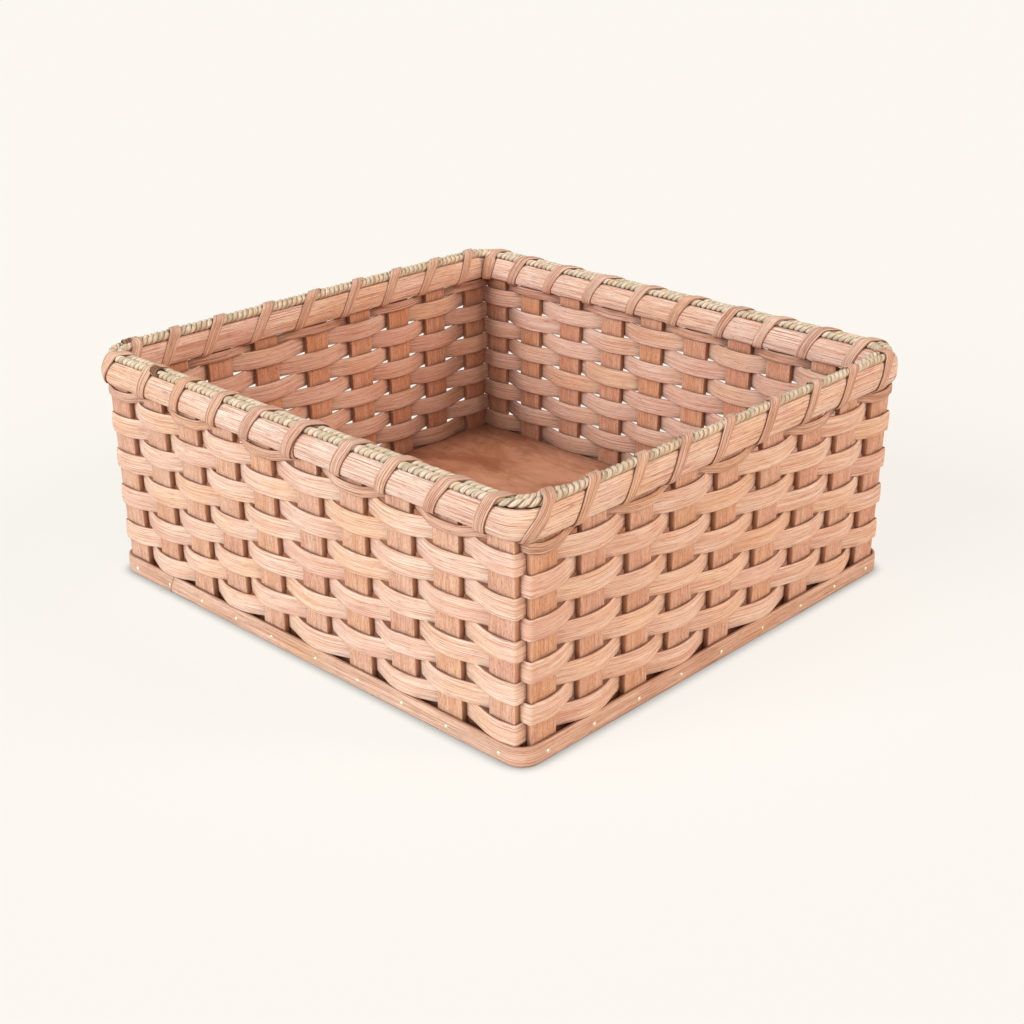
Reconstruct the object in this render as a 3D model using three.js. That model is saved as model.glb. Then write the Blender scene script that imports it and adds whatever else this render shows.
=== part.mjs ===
// Woven reed storage basket: a flat board, upright stakes round its edge, a woven wall,
// and a rim of two bands and two seagrass strands bound by one spiral lashing reed.
// Millimetres, +Z up, origin on the table under the middle of the board, long side along X.
import * as THREE from "three";

// The board and the stakes that stand round it.
const boardLength = 350;
const boardWidth = 329;
const boardThickness = 12;
const boardCornerRadius = 5;
const stakeWidth = 19;
const stakeThickness = 3.8;
// From each stake to the next along each wall, as laid by hand; scaled to fill the wall.
const stakeGaps = {
  front: [33.9, 34.5, 35.1, 35, 40.9, 37.8, 37.3, 35.9, 38.1],
  right: [36.5, 38, 37.5, 38, 41, 40, 37.5, 35.2],
  back: [34.5, 34.5, 32.4, 37.1, 39, 36.3, 40.3, 39.9, 33.5],
  left: [39.6, 36.7, 36.7, 39.6, 44.2, 38.2, 35, 34],
};
const cornerInset = 7.4; // from the corner of two wall planes to the edge of the nearest stake
const wallFlare = 2.4; // how far the wall leans out between the table and the rim's top

// The woven rows and the bands.
const baseBandOverBoard = 0.2; // how far the base band reaches above the board
const baseBandThickness = 2.4;
const rowCount = 9;
const weaverWidth = 12;
const weaverThickness = 2.2;
const weaverBulge = 0.9; // extra bow of a weaver over the middle of a stake
const narrowWeaverWidth = 5.6;
const narrowWeaverThickness = 1.6;
const rimBandHeight = 16.8;
const rimBandThickness = 4.2;
const seagrassDiameter = 5.2;
const lashingWidth = 9.5; // measured along the rim; the leaning reed is narrower across
const lashingThickness = 1;
// Where the lashing comes through between two stakes: 0 midway, 1 against the further one.
const lashingPlace = { front: 0.9, right: 0.5, back: 0.35, left: 0.9 };
const outerCornerRadius = 6.8; // of the middle of the stakes, for what is laid outside them
const innerCornerRadius = 8; // the same, for what is laid inside them
const seagrassCornerRadius = 13.5; // the strands cut the corner

// Room left between pieces that touch.
const restGap = 0.3;
const rowGap = 0.35;
const weaveGap = 0.45;
const bandGap = 0.65;

// Heights.
const halfStake = stakeThickness / 2;
const baseBandHeight = boardThickness + baseBandOverBoard;
const firstRowZ = baseBandHeight + rowGap;
const rowPitch = weaverWidth + rowGap;
const narrowRowZ = firstRowZ + rowCount * rowPitch;
const rimBottomZ = narrowRowZ + narrowWeaverWidth + lashingThickness + 2 * restGap;
const rimTopZ = rimBottomZ + rimBandHeight;
const stakeBottomZ = restGap;
const stakeTopZ = rimTopZ - restGap;
const seagrassZ = rimTopZ + restGap + seagrassDiameter / 2;

// Half sizes of the rectangle through the middle of the stakes at table level.
const wallHalfX = boardLength / 2 + restGap + halfStake;
const wallHalfY = boardWidth / 2 + restGap + halfStake;

const reedLight = new THREE.MeshStandardMaterial({ color: 0xe0b08c, roughness: 0.7, metalness: 0 });
const stakeReed = new THREE.MeshStandardMaterial({ color: 0xb98062, roughness: 0.75, metalness: 0 });
const bindingReed = new THREE.MeshStandardMaterial({ color: 0xc08d74, roughness: 0.7, metalness: 0 });
const boardWood = new THREE.MeshStandardMaterial({ color: 0xb27254, roughness: 0.65, metalness: 0 });
const seagrass = new THREE.MeshStandardMaterial({ color: 0xb7ad86, roughness: 0.9, metalness: 0 });

function flareAt(z) {
  return (wallFlare * z) / rimTopZ;
}

// The four walls in order, going round against the clock from the front: each runs from its
// start corner along its direction, with its outward side to the right of that direction.
const walls = [
  { name: "front", halfRun: wallHalfX, reach: wallHalfY, turn: 0 },
  { name: "right", halfRun: wallHalfY, reach: wallHalfX, turn: 1 },
  { name: "back", halfRun: wallHalfX, reach: wallHalfY, turn: 2 },
  { name: "left", halfRun: wallHalfY, reach: wallHalfX, turn: 3 },
];
for (const wall of walls) {
  wall.endOffset = wall.halfRun + halfStake - cornerInset - stakeWidth / 2;
  const gaps = stakeGaps[wall.name];
  const allGaps = gaps.reduce((sum, gap) => sum + gap, 0);
  wall.stakeShares = [-1];
  for (const gap of gaps) wall.stakeShares.push(wall.stakeShares.at(-1) + (2 * gap) / allGaps);
  wall.stakes = wall.stakeShares.length;
}

function turned(along, outward, turn) {
  const p = new THREE.Vector2(along, -outward);
  return p.rotateAround(new THREE.Vector2(0, 0), (turn * Math.PI) / 2);
}

// Distance from the middle of a wall to the middle of its stake number i, at height z.
function stakeOffset(wall, i, z) {
  return wall.stakeShares[i] * (wall.endOffset + flareAt(z));
}

function namedMesh(name, geometry, material) {
  const mesh = new THREE.Mesh(geometry, material);
  mesh.name = name;
  return mesh;
}

function roundedRectangle(halfX, halfY, radius) {
  const shape = new THREE.Shape();
  shape.moveTo(-halfX + radius, -halfY);
  shape.lineTo(halfX - radius, -halfY);
  shape.absarc(halfX - radius, -halfY + radius, radius, -Math.PI / 2, 0);
  shape.lineTo(halfX, halfY - radius);
  shape.absarc(halfX - radius, halfY - radius, radius, 0, Math.PI / 2);
  shape.lineTo(-halfX + radius, halfY);
  shape.absarc(-halfX + radius, halfY - radius, radius, Math.PI / 2, Math.PI);
  shape.lineTo(-halfX, -halfY + radius);
  shape.absarc(-halfX + radius, -halfY + radius, radius, Math.PI, 1.5 * Math.PI);
  return shape;
}

function makeBoard() {
  const easedEdge = 0.8;
  const outline = roundedRectangle(
    boardLength / 2 - easedEdge,
    boardWidth / 2 - easedEdge,
    boardCornerRadius - easedEdge,
  );
  const geometry = new THREE.ExtrudeGeometry(outline, {
    depth: boardThickness - 2 * easedEdge,
    curveSegments: 4,
    bevelSize: easedEdge,
    bevelThickness: easedEdge,
    bevelSegments: 1,
  });
  const board = namedMesh("base_board", geometry, boardWood);
  board.position.z = easedEdge;
  return board;
}

// A straight flat stake, leaning out with the wall and fanning out along it.
function makeStake(wall, i) {
  const height = stakeTopZ - stakeBottomZ;
  const middleZ = (stakeTopZ + stakeBottomZ) / 2;
  const geometry = new THREE.BoxGeometry(stakeWidth, stakeThickness, height);
  const number = String(i + 1).padStart(2, "0");
  const stake = namedMesh("stake_" + wall.name + "_" + number, geometry, stakeReed);
  const lean = flareAt(stakeTopZ) - flareAt(stakeBottomZ);
  const fan = stakeOffset(wall, i, stakeTopZ) - stakeOffset(wall, i, stakeBottomZ);
  stake.position.set(stakeOffset(wall, i, middleZ), -wall.reach - flareAt(middleZ), middleZ);
  stake.rotation.set(Math.atan2(lean, height), Math.atan2(fan, height), 0);
  return stake;
}

function makeStakes() {
  const stakes = new THREE.Group();
  for (const wall of walls) {
    const side = new THREE.Group();
    side.rotation.z = (wall.turn * Math.PI) / 2;
    for (let i = 0; i < wall.stakes; i++) side.add(makeStake(wall, i));
    stakes.add(side);
  }
  return stakes;
}

// Points of a weaver's middle line seen from above. It passes outside every second stake and
// inside the others, bows a little over each, and slips between the two stakes of a corner.
function weaverLine(z, thickness, firstIsOutside) {
  const points = [];
  const clear = halfStake + weaveGap + thickness / 2;
  const flare = flareAt(z);
  let outside = firstIsOutside;
  for (const wall of walls) {
    const reach = wall.reach + flare;
    for (let i = 0; i < wall.stakes; i++) {
      const side = outside ? 1 : -1;
      const middle = stakeOffset(wall, i, z);
      const edge = stakeWidth / 2 + weaveGap;
      points.push(turned(middle - edge, reach + side * clear, wall.turn));
      points.push(turned(middle, reach + side * (clear + weaverBulge), wall.turn));
      points.push(turned(middle + edge, reach + side * clear, wall.turn));
      outside = !outside;
    }
    points.push(...cornerTurn(wall, reach, flare, thickness, !outside));
  }
  return points;
}

// Two points that carry a weaver round the edge of the last stake of a wall: a weaver that
// lay outside it turns in behind the next wall, one that lay inside comes out over it.
function cornerTurn(wall, reach, flare, thickness, wasOutside) {
  const run = wall.halfRun + flare;
  const nearStake = halfStake + weaveGap + thickness / 2 - cornerInset / 3;
  const pastStake = -halfStake - weaveGap - thickness / 2;
  const rounding = 0.85;
  const bends = [
    [pastStake - rounding / 2, nearStake + halfStake / 2 + rounding],
    [pastStake + rounding / 2, nearStake - halfStake / 2],
  ];
  if (wasOutside) return bends.map(([a, b]) => turned(run + a, reach + b, wall.turn));
  return bends.reverse().map(([a, b]) => turned(run + b, reach + a, wall.turn));
}

// The same closed line moved sideways, with mitred corners.
function movedLine(points, distance) {
  const count = points.length;
  return points.map((point, i) => {
    const before = point.clone().sub(points[(i + count - 1) % count]).normalize();
    const after = points[(i + 1) % count].clone().sub(point).normalize();
    const sum = before.clone().add(after).normalize();
    const mitre = distance / sum.dot(after);
    return new THREE.Vector2(point.x + sum.y * mitre, point.y - sum.x * mitre);
  });
}

// A closed woven loop of reed: its outline from above raised to the reed's width.
function makeWeaver(name, bottomZ, width, thickness, firstIsOutside, material) {
  const line = weaverLine(bottomZ + width / 2, thickness, firstIsOutside);
  const shape = new THREE.Shape(movedLine(line, thickness / 2));
  shape.holes.push(new THREE.Path(movedLine(line, -thickness / 2)));
  const geometry = new THREE.ExtrudeGeometry(shape, { depth: width, bevelEnabled: false });
  const weaver = namedMesh(name, geometry, material);
  weaver.position.z = bottomZ;
  return weaver;
}

function makeWovenWall() {
  const wall = new THREE.Group();
  for (let row = 1; row <= rowCount; row++) {
    const bottomZ = firstRowZ + (row - 1) * rowPitch;
    const firstIsOutside = row % 2 === 0;
    const name = "weaver_row_" + row;
    wall.add(makeWeaver(name, bottomZ, weaverWidth, weaverThickness, firstIsOutside, reedLight));
  }
  const topIsOutside = (rowCount + 1) % 2 === 0;
  wall.add(
    makeWeaver(
      "narrow_weaver_row",
      narrowRowZ,
      narrowWeaverWidth,
      narrowWeaverThickness,
      topIsOutside,
      bindingReed,
    ),
  );
  return wall;
}

// A route through listed points, each with the direction of its section's first axis (normal)
// and second axis (binormal). A section is swept through exactly these points.
class Route extends THREE.Curve {
  constructor(stops) {
    super();
    this.stops = stops;
  }

  getPoint(t) {
    return this.stops[Math.round(t * (this.stops.length - 1))].point.clone();
  }

  getSpacedPoints() {
    return this.stops.map((stop) => stop.point.clone());
  }

  computeFrenetFrames() {
    return {
      tangents: this.stops.map((stop) => stop.normal.clone().cross(stop.binormal)),
      normals: this.stops.map((stop) => stop.normal),
      binormals: this.stops.map((stop) => stop.binormal),
    };
  }
}

function swept(section, stops) {
  return new THREE.ExtrudeGeometry(section, {
    steps: stops.length - 1,
    extrudePath: new Route(stops),
    curveSegments: 2,
  });
}

// The rectangle through the middle of the stakes at height z, with rounded corners.
function wallLoop(z, radius) {
  const halfX = wallHalfX + flareAt(z);
  const halfY = wallHalfY + flareAt(z);
  const arc = (Math.PI / 2) * radius;
  const straights = [halfX, halfY, halfX, halfY].map((half) => 2 * (half - radius));
  const total = straights.reduce((sum, length) => sum + length, 0) + 4 * arc;
  return { halfX, halfY, radius, arc, straights, total };
}

// The place at a distance along the loop from the middle of the front wall, going against
// the clock: its point, its outward direction and its direction of travel.
function placeOn(loop, distance) {
  let rest = (((distance + loop.straights[0] / 2) % loop.total) + loop.total) % loop.total;
  for (let side = 0; side < 4; side++) {
    const straight = loop.straights[side];
    const reach = side % 2 === 0 ? loop.halfY : loop.halfX;
    if (rest <= straight + loop.arc) {
      const angle = Math.max(0, rest - straight) / loop.radius;
      const along = Math.min(rest, straight) - straight / 2 + loop.radius * Math.sin(angle);
      const outward = reach - loop.radius + loop.radius * Math.cos(angle);
      const point = turned(along, outward, side);
      const out = turned(Math.sin(angle), Math.cos(angle), side);
      return {
        point,
        outward: new THREE.Vector3(out.x, out.y, 0),
        travel: new THREE.Vector3(-out.y, out.x, 0),
      };
    }
    rest -= straight + loop.arc;
  }
  return placeOn(loop, 0);
}

const cornerSteps = 4;
const endGap = 0.6; // between the two butted ends of a band or a strand

// Distances along the loop of every stop of a band: its two ends and the steps of the corners.
function bandDistances(loop, joinAt) {
  const corners = [];
  let cornerStart = loop.straights[0] / 2;
  for (let side = 0; side < 4; side++) {
    for (let k = 0; k <= cornerSteps; k++) corners.push(cornerStart + (loop.arc * k) / cornerSteps);
    cornerStart += loop.arc + loop.straights[(side + 1) % 4];
  }
  const afterJoin = corners.map((d) => (d > joinAt ? d : d + loop.total));
  afterJoin.sort((a, b) => a - b);
  return [joinAt + endGap / 2, ...afterJoin, joinAt + loop.total - endGap / 2];
}

// A band or strand laid once round the wall at height z. Its section's first axis points
// down and its second axis points inward, measured from the middle of the stakes.
function layRound(section, z, cornerRadius, joinAt) {
  const loop = wallLoop(z, cornerRadius);
  const stops = bandDistances(loop, joinAt).map((distance) => {
    const place = placeOn(loop, distance);
    return {
      point: new THREE.Vector3(place.point.x, place.point.y, z),
      normal: new THREE.Vector3(0, 0, -1),
      binormal: place.outward.clone().negate(),
    };
  });
  return swept(section, stops);
}

// Section of a half-oval reed: a flat face at distance near from the middle of the stakes
// and a rounded face away from them. Side is 1 for a reed outside the wall, -1 for inside.
function halfOval(height, thickness, near, side) {
  const half = height / 2;
  const y = (depth) => -side * (near + depth * thickness);
  const shape = new THREE.Shape();
  shape.moveTo(-half, y(0));
  shape.lineTo(half, y(0));
  shape.lineTo(half, y(0.45));
  shape.lineTo(half * 0.8, y(0.8));
  shape.lineTo(half * 0.35, y(1));
  shape.lineTo(-half * 0.35, y(1));
  shape.lineTo(-half * 0.8, y(0.8));
  shape.lineTo(-half, y(0.45));
  shape.closePath();
  return shape;
}

function makeBaseBand() {
  const middleZ = baseBandHeight / 2;
  const section = halfOval(baseBandHeight, baseBandThickness, halfStake + bandGap, 1);
  const joinAt = -wallHalfX * 0.7;
  return namedMesh("base_band", layRound(section, middleZ, outerCornerRadius, joinAt), reedLight);
}

function makeRimBand(name, side, joinAt) {
  const middleZ = (rimBottomZ + rimTopZ) / 2;
  const section = halfOval(rimBandHeight, rimBandThickness, halfStake + bandGap, side);
  const cornerRadius = side > 0 ? outerCornerRadius : innerCornerRadius;
  return namedMesh(name, layRound(section, middleZ, cornerRadius, joinAt), reedLight);
}

// Two strands lie side by side on the edges of the rim bands.
function makeSeagrass(name, side, joinAt) {
  const section = new THREE.Shape();
  const radius = seagrassDiameter / 2;
  const sides = 8;
  const offset = side * (radius + restGap / 2);
  for (let k = 0; k < sides; k++) {
    const angle = (2 * Math.PI * k) / sides;
    const x = radius * Math.cos(angle);
    const y = radius * Math.sin(angle) - offset;
    if (k === 0) section.moveTo(x, y);
    else section.lineTo(x, y);
  }
  section.closePath();
  return namedMesh(name, layRound(section, seagrassZ, seagrassCornerRadius, joinAt), seagrass);
}

// The ring of one lashing turn round the rim's section, in order from below the outer band,
// up outside, over the strands and down inside: distance out from the middle of the stakes,
// height, and the share of a stake gap by which the reed has moved on along the rim.
function lashingTurn() {
  const clear = restGap + lashingThickness / 2;
  const bandFace = halfStake + bandGap + rimBandThickness;
  const side = bandFace + clear + restGap;
  const under = bandFace * 0.72;
  const underZ = rimBottomZ - clear;
  const overZ = seagrassZ + seagrassDiameter / 2 + clear;
  const over = seagrassDiameter + restGap;
  const lowZ = rimBottomZ + rimBandHeight * 0.13;
  const highZ = rimTopZ - rimBandHeight * 0.1;
  return [
    { out: under, z: underZ, share: 0 },
    { out: side, z: lowZ, share: 0.05 },
    { out: side, z: highZ, share: 0.32 },
    { out: over, z: overZ, share: 0.41 },
    { out: -over, z: overZ, share: 0.62 },
    { out: -side, z: highZ, share: 0.68 },
    { out: -side, z: lowZ, share: 0.95 },
    { out: -under, z: underZ, share: 1 },
  ];
}

// Distances along the rim loop of the places where the lashing comes through, in order: one
// in each gap between stakes.
function gapDistances(loop) {
  const gaps = [];
  let wallMiddle = 0;
  walls.forEach((wall, side) => {
    const offsets = [];
    for (let i = 0; i < wall.stakes; i++) offsets.push(stakeOffset(wall, i, rimBottomZ));
    for (let i = 0; i + 1 < wall.stakes; i++) {
      const room = offsets[i + 1] - offsets[i] - stakeWidth - lashingWidth - 2 * restGap;
      const aside = (lashingPlace[wall.name] * Math.max(0, room)) / 2;
      gaps.push({ at: wallMiddle + (offsets[i] + offsets[i + 1]) / 2 + aside, corner: false });
    }
    const cornerMiddle = wallMiddle + loop.straights[side] / 2 + loop.arc / 2;
    gaps.push({ at: cornerMiddle, corner: true });
    wallMiddle = cornerMiddle + loop.arc / 2 + loop.straights[(side + 1) % 4] / 2;
  });
  return gaps;
}

// The knots of the turn between two gaps. Where the reed slips between the two stakes of a
// corner it is folded narrower; it bends round the outer corner in short steps and keeps
// further away from the inner one.
function turnBetween(from, to, step, arc) {
  const foldedShare = 0.3;
  const cornerRoom = 3;
  const knots = lashingTurn().map((knot) => ({ ...knot, width: 1 }));
  const [under, low] = knots;
  const [overInside, highInside, lowInside, underInside] = knots.slice(4);
  if (to.corner) {
    underInside.width = foldedShare;
    lowInside.width = foldedShare;
    overInside.share = 0.56;
    highInside.share = 0.6;
    lowInside.share = 1;
    for (const knot of [overInside, highInside, lowInside, underInside]) knot.out -= cornerRoom;
  }
  if (from.corner) {
    const arcShare = arc / 2 / step;
    const rise = (knots[2].z - low.z) / (knots[2].share - low.share);
    const bends = [0.7, 1].map((part) => {
      const share = arcShare * part;
      return { ...low, share, z: low.z + rise * (share - low.share) };
    });
    under.width = foldedShare;
    knots.splice(2, 0, ...bends);
  }
  return knots;
}

// One reed wound round the whole rim, once for each gap between stakes. The section's first
// axis points away from the rim and its second runs along it. Both ends of the reed are
// tucked under the rim, in the same gap.
function makeLashing() {
  const loop = wallLoop(rimTopZ, outerCornerRadius);
  const gaps = gapDistances(loop);
  const joinGap = Math.floor(walls[0].stakes / 2) - 1;
  const stops = [];
  for (let k = 0; k < gaps.length; k++) {
    const from = gaps[(joinGap + k) % gaps.length];
    const to = gaps[(joinGap + k + 1) % gaps.length];
    const step = (to.at - from.at + loop.total) % loop.total;
    const knots = turnBetween(from, to, step, loop.arc);
    knots.forEach((knot, i) => {
      const before = knots[(i + knots.length - 1) % knots.length];
      const after = knots[(i + 1) % knots.length];
      const facing = new THREE.Vector2(after.z - before.z, before.out - after.out).normalize();
      const place = placeOn(loop, from.at + knot.share * step);
      const point = new THREE.Vector3(place.point.x, place.point.y, 0);
      point.addScaledVector(place.outward, knot.out);
      point.z = knot.z;
      const normal = place.outward.clone().multiplyScalar(facing.x);
      normal.z = facing.y;
      stops.push({ point, normal, binormal: place.travel.clone().multiplyScalar(knot.width) });
    });
  }
  const joinPlace = placeOn(loop, gaps[joinGap].at);
  stops.unshift(tuckedEnd(joinPlace, 1));
  stops.push(tuckedEnd(joinPlace, -1));
  return namedMesh("rim_lashing", swept(lashingSection(), stops), bindingReed);
}

// One end of the lashing, tucked in under the rim to just short of the middle of the wall.
function tuckedEnd(place, side) {
  const point = new THREE.Vector3(place.point.x, place.point.y, 0);
  point.addScaledVector(place.outward, side * endGap);
  point.z = lashingTurn()[0].z;
  return { point, normal: new THREE.Vector3(0, 0, -1), binormal: place.travel.clone() };
}

function lashingSection() {
  const shape = new THREE.Shape();
  const halfThickness = lashingThickness / 2;
  const halfWidth = lashingWidth / 2;
  shape.moveTo(-halfThickness, -halfWidth);
  shape.lineTo(halfThickness, -halfWidth);
  shape.lineTo(halfThickness, halfWidth);
  shape.lineTo(-halfThickness, halfWidth);
  shape.closePath();
  return shape;
}

function makeRim() {
  const rim = new THREE.Group();
  rim.add(makeRimBand("rim_band_outer", 1, wallHalfX * 0.2));
  rim.add(makeRimBand("rim_band_inner", -1, -wallHalfX * 0.3));
  rim.add(makeSeagrass("seagrass_outer", 1, -wallHalfX * 0.85));
  rim.add(makeSeagrass("seagrass_inner", -1, -wallHalfX * 0.75));
  rim.add(makeLashing());
  return rim;
}

const basket = new THREE.Group();
basket.name = "storage_basket";
basket.add(makeBoard());
basket.add(makeStakes());
basket.add(makeBaseBand());
basket.add(makeWovenWall());
basket.add(makeRim());

export default basket;
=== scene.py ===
import math, random
from types import SimpleNamespace
import bpy, bmesh
from mathutils import Euler, Matrix, Vector, geometry, noise


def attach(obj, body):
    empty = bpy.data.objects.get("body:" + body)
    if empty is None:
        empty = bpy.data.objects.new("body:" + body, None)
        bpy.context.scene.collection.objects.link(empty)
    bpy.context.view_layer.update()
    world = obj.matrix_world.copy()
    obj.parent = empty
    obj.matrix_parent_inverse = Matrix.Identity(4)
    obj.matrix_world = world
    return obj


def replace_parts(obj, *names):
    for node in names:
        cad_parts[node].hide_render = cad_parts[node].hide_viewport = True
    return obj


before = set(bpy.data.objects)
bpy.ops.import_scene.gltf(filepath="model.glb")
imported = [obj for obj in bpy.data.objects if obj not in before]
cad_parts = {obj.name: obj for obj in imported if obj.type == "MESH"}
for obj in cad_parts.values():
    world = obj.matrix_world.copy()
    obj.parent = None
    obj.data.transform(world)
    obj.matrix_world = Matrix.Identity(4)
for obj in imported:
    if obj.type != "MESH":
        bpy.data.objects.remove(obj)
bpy.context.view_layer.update()  # frame["bodies"], ["nodes"], ["joints"], ["record"]
mm = 0.001
upward = Vector((0, 0, 1))

# sizes in millimetres, the same ones that the frame was built from
size = SimpleNamespace(
    boardLength=350, boardWidth=329, stakeWidth=19, stakeThickness=3.8,
    cornerInset=7.4, wallFlare=2.4, restGap=0.3, rowGap=0.35, bandGap=0.65,
    bandHeight=12.2, bandThickness=2.4, rows=9, weaverWidth=12, narrowWidth=5.6,
    rimHeight=16.8, rimThickness=4.2, seagrass=5.2, lashThickness=1.0, outerCorner=6.8, innerCorner=8.0,
)
# from each stake to the next along each wall, as laid by hand; scaled to fill the wall
stakeGaps = dict(
    Front=[33.9, 34.5, 35.1, 35, 40.9, 37.8, 37.3, 35.9, 38.1],
    Right=[36.5, 38, 37.5, 38, 41, 40, 37.5, 35.2],
    Back=[34.5, 34.5, 32.4, 37.1, 39, 36.3, 40.3, 39.9, 33.5],
    Left=[39.6, 36.7, 36.7, 39.6, 44.2, 38.2, 35, 34],
)
endNudge = dict(Front=2.1, Right=0.7, Back=1.5, Left=1.5)  # how much nearer the corner the end stakes stand
halfStake = size.stakeThickness / 2
bandNear = halfStake + size.bandGap  # from the middle of the stakes to what is laid against them
firstRow = size.bandHeight + size.rowGap
rowPitch = size.weaverWidth + size.rowGap
narrowRow = firstRow + size.rows * rowPitch
rimBottom = narrowRow + size.narrowWidth + size.lashThickness + 2 * size.restGap
rimTop = rimBottom + size.rimHeight
seagrassZ = rimTop + size.restGap + size.seagrass / 2
outerRound = size.outerCorner + 0.4  # a reed bends wider round the corner stakes than the frame's turn
rimRound = size.outerCorner + 4.4
halfX = size.boardLength / 2 + size.restGap + halfStake
halfY = size.boardWidth / 2 + size.restGap + halfStake


def flareAt(z):
    return size.wallFlare * z / rimTop


def makeWall(name, halfRun, reach, turn):
    endOffset = halfRun + halfStake - size.cornerInset - size.stakeWidth / 2
    gaps = stakeGaps[name]
    shares = [-1]
    for gap in gaps:
        shares.append(shares[-1] + 2 * gap / sum(gaps))
    count = len(shares)
    return dict(name=name, halfRun=halfRun, reach=reach, turn=turn, end=endOffset, shares=shares, count=count)


walls = [
    makeWall("Front", halfX, halfY, 0), makeWall("Right", halfY, halfX, 1),
    makeWall("Back", halfX, halfY, 2), makeWall("Left", halfY, halfX, 3),
]


# a point that many mm along a wall and that many outward, on wall number turn
def turned(along, outward, turn):
    x, y = along, -outward
    for _ in range(turn):
        x, y = -y, x
    return Vector((x, y, 0))


def stakeOffset(wall, i, z):
    nudge = endNudge[wall["name"]] if i in (0, wall["count"] - 1) else 0
    return wall["shares"][i] * (wall["end"] + flareAt(z) + nudge)


# loop round the middles of the stakes at height z
def wallLoop(z, radius):
    hx, hy = halfX + flareAt(z), halfY + flareAt(z)
    arc = math.pi / 2 * radius
    straights = [2 * (h - radius) for h in (hx, hy, hx, hy)]
    return dict(hx=hx, hy=hy, radius=radius, arc=arc, straights=straights, total=sum(straights) + 4 * arc)


# point, outward side and direction of travel at a distance round a loop from the middle of the front
def placeOn(loop, distance):
    rest = (distance + loop["straights"][0] / 2) % loop["total"]
    for side in range(4):
        straight = loop["straights"][side]
        if rest <= straight + loop["arc"] + 1e-9:
            reach = loop["hy"] if side % 2 == 0 else loop["hx"]
            angle = max(0, rest - straight) / loop["radius"]
            along = min(rest, straight) - straight / 2 + loop["radius"] * math.sin(angle)
            out = reach - loop["radius"] + loop["radius"] * math.cos(angle)
            outward = turned(math.sin(angle), math.cos(angle), side)
            return turned(along, out, side), outward, Vector((-outward.y, outward.x, 0))
        rest -= straight + loop["arc"]
    return placeOn(loop, 0)


def wave(x, y=0.0, seed=0.0):
    return noise.noise(Vector((x, y, seed * 7.31)))


def eased(value):
    value = min(1.0, max(0.0, value))
    return value * value * (3 - 2 * value)


# cross-section of a flat reed as (across, outward) points: flat inside, slightly domed outside, eased edges
def reedProfile(width, thickness, dome=0.3, ease=0.35, steps=8):
    half, deep = width / 2, thickness / 2
    nip, shoulder = ease * 0.3, deep - dome
    points = [(-half + ease, -deep), (-half + nip, -deep + nip), (-half, -deep + ease)]
    points += [(-half, shoulder - ease), (-half + nip, shoulder - nip)]
    for k in range(steps + 1):
        a = (-1 + 2 * k / steps) * (half - ease)
        points.append((a, shoulder + dome * (1 - (a / half) ** 2)))
    points += [(half - nip, shoulder - nip), (half, shoulder - ease)]
    points += [(half, -deep + ease), (half - nip, -deep + nip), (half - ease, -deep)]
    points += [(half * part, -deep) for part in (0.5, 0, -0.5)]
    return points


# depth of a half-oval reed at an angle round its face, 0 at its lower edge and 180 degrees at its upper one
def ovalDepth(angle, thickness):
    return thickness * (0.16 + 0.84 * max(0.0, math.sin(angle)) ** 0.7)


# flat inside face at 0, half-oval face outward; its upper inside edge is cut back for the strand on it
def halfOvalProfile(height, thickness, steps=20):
    points = []
    for k in range(steps):
        angle = math.pi * k / (steps - 1)
        points.append((-height / 2 * math.cos(angle), ovalDepth(angle, thickness)))
    points += [(height / 2 - 0.4, 0.35), (height / 2 - 2.2, 0), (0, 0), (-height / 2 + 0.4, 0)]
    return points


def roundProfile(radiusA, radiusO, steps=8):
    return [(radiusA * math.cos(2 * math.pi * k / steps), radiusO * math.sin(2 * math.pi * k / steps))
            for k in range(steps)]


# distances along the stops and round the profile, the two directions of the grain
def grainLengths(stops, profile, closed):
    count, around = len(stops), len(profile)
    lengths, edge = [0.0], [0.0]
    for i in range(count if closed else count - 1):
        lengths.append(lengths[-1] + (stops[(i + 1) % count]["point"] - stops[i]["point"]).length)
    for j in range(around):
        edge.append(edge[-1] + math.dist(profile[j], profile[(j + 1) % around]))
    return lengths, edge


def layStraight(stop, a, o):
    wide, thick = stop.get("scale", (1, 1))
    return (stop["point"] + stop["across"] * a * wide + stop["outward"] * o * thick
            + stop.get("slant", Vector()) * a)


# 1 on the inside face of a reed; on a round ply it is the mask of painted shade in the grooves, deepening
# towards the middle of its strand
def innerTone(o, deep, shadedGrooves):
    if shadedGrooves:
        return eased(0.64 - 0.82 * o / deep)
    return 1.0 if o < 0 else 0.0


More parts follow.
